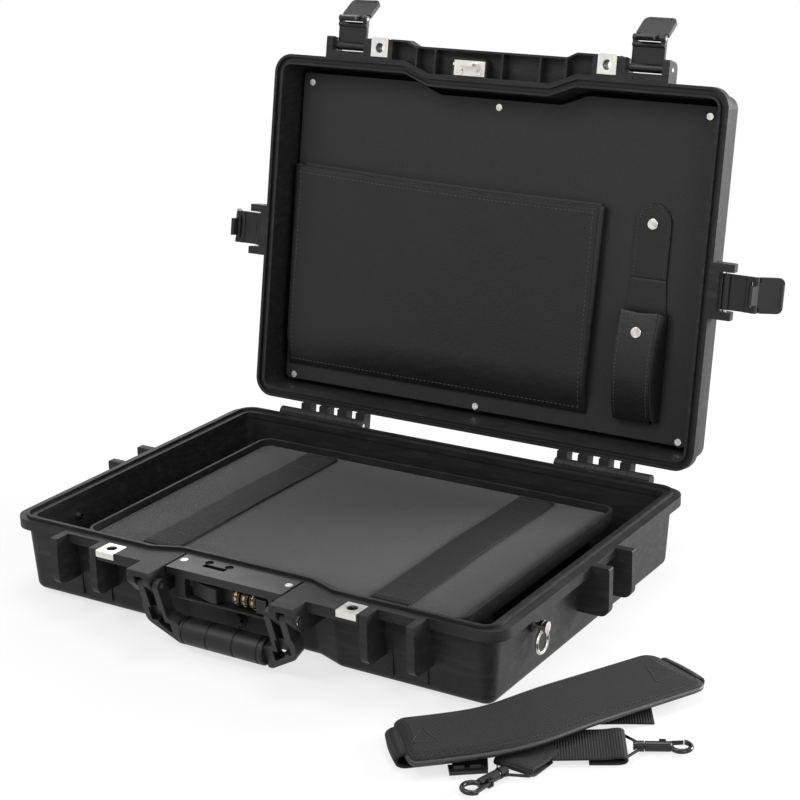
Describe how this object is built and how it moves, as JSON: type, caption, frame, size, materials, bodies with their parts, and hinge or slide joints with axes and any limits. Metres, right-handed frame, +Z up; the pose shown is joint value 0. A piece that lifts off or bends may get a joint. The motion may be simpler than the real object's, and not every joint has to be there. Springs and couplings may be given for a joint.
{
  "type": "laptop hard case",
  "caption": "Black moulded laptop hard case, lid open: toggle latches, front handle with dial lock, tray, lid pouches and a padded shoulder strap.",
  "frame": {"origin": "middle of the case on the plane it rests on, at the central foot", "axes": "+Z up, -Y towards the handle and latches, +X to the right as seen from the front"},
  "size_m": [0.7357, 0.613, 0.5],
  "materials": {
    "shell_plastic": "fine pebble grain",
    "lock_plastic": "satin",
    "latch_plastic": "satin",
    "handle_plastic": "satin",
    "bright_steel": "brushed",
    "polished_steel": "polished",
    "brass": "satin",
    "rubber": "matt",
    "tray_plastic": "matt",
    "foam": "open-cell foam",
    "panel_sheet": "pebbled sheet",
    "pouch_leather": "smooth grained leather",
    "strap_fabric": "woven nylon",
    "black_metal": "gloss black"
  },
  "bodies": {
    "base": {"base_shell": "shell_plastic", "hinge_pins": "polished_steel", "base_padlock_plates": "bright_steel", "strap_posts": "polished_steel", "pressure_valve": "rubber", "lock_housing": "lock_plastic", "housing_screws": "bright_steel", "dial_shaft": "polished_steel", "handle_pins": "polished_steel", "floor_pad": "foam", "tray_blocks": "foam", "laptop_tray": "tray_plastic", "tray_pad": "foam", "tray_straps": "strap_fabric"},
    "ring_right": {"strap_ring_right": "polished_steel"},
    "ring_left": {"strap_ring_left": "polished_steel"},
    "slide": {"lock_slide": "lock_plastic"},
    "dial_1": {"lock_dial_1": "brass"},
    "dial_2": {"lock_dial_2": "brass"},
    "dial_3": {"lock_dial_3": "brass"},
    "button": {"lock_button": "lock_plastic"},
    "handle": {"handle_frame": "handle_plastic", "handle_grip": "rubber"},
    "lid": {"lid_shell": "shell_plastic", "lid_gasket": "rubber", "lid_padlock_plates": "bright_steel", "hasp_plate": "bright_steel", "hasp_screws": "bright_steel", "lid_panel": "panel_sheet", "panel_screws": "bright_steel", "document_pouch": "pouch_leather", "mouse_pocket": "pouch_leather", "pocket_snap": "polished_steel", "latch_pins": "polished_steel"},
    "flap": {"pouch_flap": "pouch_leather", "flap_snap": "polished_steel"},
    "strap": {"strap_pad": "strap_fabric", "strap_webbing": "strap_fabric", "strap_buckle": "black_metal", "swivel_loop_1": "black_metal", "swivel_loop_2": "black_metal"},
    "hook_1": {"snap_hook_1": "black_metal"},
    "hook_2": {"snap_hook_2": "black_metal"},
    "gate_1": {"hook_gate_1": "black_metal"},
    "gate_2": {"hook_gate_2": "black_metal"},
    "arm_front_left": {"latch_arm_front_left": "latch_plastic", "lever_pin_front_left": "polished_steel"},
    "lever_front_left": {"latch_lever_front_left": "latch_plastic"},
    "arm_front_right": {"latch_arm_front_right": "latch_plastic", "lever_pin_front_right": "polished_steel"},
    "lever_front_right": {"latch_lever_front_right": "latch_plastic"},
    "arm_side_left": {"latch_arm_side_left": "latch_plastic", "lever_pin_side_left": "polished_steel"},
    "lever_side_left": {"latch_lever_side_left": "latch_plastic"},
    "arm_side_right": {"latch_arm_side_right": "latch_plastic", "lever_pin_side_right": "polished_steel"},
    "lever_side_right": {"latch_lever_side_right": "latch_plastic"}
  },
  "joints": [
    {"name": "lid_hinge", "type": "hinge", "parent": "base", "child": "lid", "pos_m": [0, 0.1955, 0.0735], "axis": [-1, 0, 0], "range_deg": [-100, 0]},
    {"name": "handle_swing", "type": "hinge", "parent": "base", "child": "handle", "pos_m": [0, -0.216, 0.063], "axis": [-1, 0, 0], "range_deg": [0, 113]},
    {"name": "ring_right_swing", "type": "hinge", "parent": "base", "child": "ring_right", "pos_m": [0.26, -0.108, 0.054], "axis": [1, 0, 0], "range_deg": [-80, 80]},
    {"name": "ring_left_swing", "type": "hinge", "parent": "base", "child": "ring_left", "pos_m": [-0.26, -0.108, 0.054], "axis": [1, 0, 0], "range_deg": [-80, 80]},
    {"name": "lock_slide_travel", "type": "slide", "parent": "base", "child": "slide", "axis": [1, 0, 0], "range_m": [0, 0.008]},
    {"name": "button_press", "type": "slide", "parent": "base", "child": "button", "axis": [0, 1, 0], "range_m": [0, 0.002], "stiffness_N_per_m": 250},
    {"name": "flap_fold", "type": "hinge", "parent": "lid", "child": "flap", "pos_m": [0.18, 0.25921, 0.25571], "axis": [1, 0, 0], "range_deg": [0, 150]},
    {"name": "strap_lift", "type": "slide", "parent": "base", "child": "strap", "axis": [0, 0, 1], "range_m": [0, 0.3]},
    {"name": "dial_1_turn", "type": "hinge", "parent": "base", "child": "dial_1", "pos_m": [0.011, -0.193, 0.0595], "axis": [1, 0, 0], "continuous": true},
    {"name": "dial_2_turn", "type": "hinge", "parent": "base", "child": "dial_2", "pos_m": [0.0199, -0.193, 0.0595], "axis": [1, 0, 0], "continuous": true},
    {"name": "dial_3_turn", "type": "hinge", "parent": "base", "child": "dial_3", "pos_m": [0.0288, -0.193, 0.0595], "axis": [1, 0, 0], "continuous": true},
    {"name": "arm_front_left_swing", "type": "hinge", "parent": "lid", "child": "arm_front_left", "pos_m": [-0.167, 0.27464, 0.45607], "axis": [-1, 0, 0], "range_deg": [-90, 0]},
    {"name": "lever_front_left_swing", "type": "hinge", "parent": "arm_front_left", "child": "lever_front_left", "pos_m": [-0.167, 0.27957, 0.48404], "axis": [-1, 0, 0], "range_deg": [-50, 0]},
    {"name": "arm_front_right_swing", "type": "hinge", "parent": "lid", "child": "arm_front_right", "pos_m": [0.167, 0.27464, 0.45607], "axis": [-1, 0, 0], "range_deg": [-90, 0]},
    {"name": "lever_front_right_swing", "type": "hinge", "parent": "arm_front_right", "child": "lever_front_right", "pos_m": [0.167, 0.27957, 0.48404], "axis": [-1, 0, 0], "range_deg": [-50, 0]},
    {"name": "arm_side_left_swing", "type": "hinge", "parent": "lid", "child": "arm_side_left", "pos_m": [-0.269, 0.23982, 0.25862], "axis": [0, -0.1736, -0.9848], "range_deg": [-90, 0]},
    {"name": "lever_side_left_swing", "type": "hinge", "parent": "arm_side_left", "child": "lever_side_left", "pos_m": [-0.2974, 0.23982, 0.25862], "axis": [0, -0.1736, -0.9848], "range_deg": [-50, 0]},
    {"name": "arm_side_right_swing", "type": "hinge", "parent": "lid", "child": "arm_side_right", "pos_m": [0.269, 0.23982, 0.25862], "axis": [0, 0.1736, 0.9848], "range_deg": [-90, 0]},
    {"name": "lever_side_right_swing", "type": "hinge", "parent": "arm_side_right", "child": "lever_side_right", "pos_m": [0.2974, 0.23982, 0.25862], "axis": [0, 0.1736, 0.9848], "range_deg": [-50, 0]},
    {"name": "hook_1_swivel", "type": "hinge", "parent": "strap", "child": "hook_1", "pos_m": [0.306, -0.262, 0.0046], "axis": [-0.2419, -0.9703, 0], "continuous": true},
    {"name": "gate_1_swing", "type": "hinge", "parent": "hook_1", "child": "gate_1", "pos_m": [0.30601, -0.28097, 0.0046], "axis": [0, 0, -1], "range_deg": [0, 15], "stiffness_Nm_per_rad": 0.01},
    {"name": "hook_2_swivel", "type": "hinge", "parent": "strap", "child": "hook_2", "pos_m": [0.38, -0.1715, 0.0046], "axis": [0.8788, 0.4772, 0], "continuous": true},
    {"name": "gate_2_swing", "type": "hinge", "parent": "hook_2", "child": "gate_2", "pos_m": [0.39398, -0.15868, 0.0046], "axis": [0, 0, -1], "range_deg": [0, 15], "stiffness_Nm_per_rad": 0.01}
  ]
}
